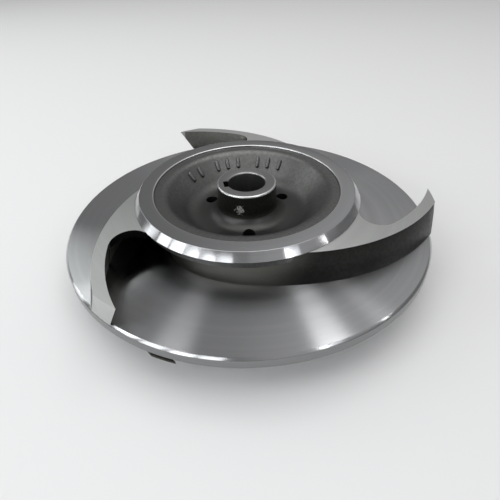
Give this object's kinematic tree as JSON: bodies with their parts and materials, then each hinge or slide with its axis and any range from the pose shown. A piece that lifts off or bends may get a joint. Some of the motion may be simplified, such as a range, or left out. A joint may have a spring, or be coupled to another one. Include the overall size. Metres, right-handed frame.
{
  "type": "pulp pump impeller",
  "caption": "Radial pump impeller: leaning vanes on a wide front shroud, a small dished back shroud with a keyed hub, and wear rings on both sides.",
  "frame": {"origin": "on the bore's axis, at the plane of the suction neck's lower face", "axes": "+Z along the bore's axis towards the drive side; the keyway lies near -X"},
  "size_m": [0.4, 0.4, 0.0965],
  "materials": {
    "cast_steel": "as-cast stainless steel, dark grey, slightly rough",
    "turned_steel": "lathe-turned stainless steel with fine round tool marks",
    "ring_steel": "finely turned bright stainless steel"
  },
  "bodies": {
    "root": {"front_shroud": "turned_steel", "suction_neck": "cast_steel", "vane_1": "cast_steel", "vane_2": "cast_steel", "vane_3": "cast_steel", "back_shroud": "cast_steel", "hub": "cast_steel", "back_wear_ring": "ring_steel", "front_wear_ring": "ring_steel", "rib_1": "cast_steel", "rib_2": "cast_steel", "rib_3": "cast_steel"}
  },
  "joints": []
}
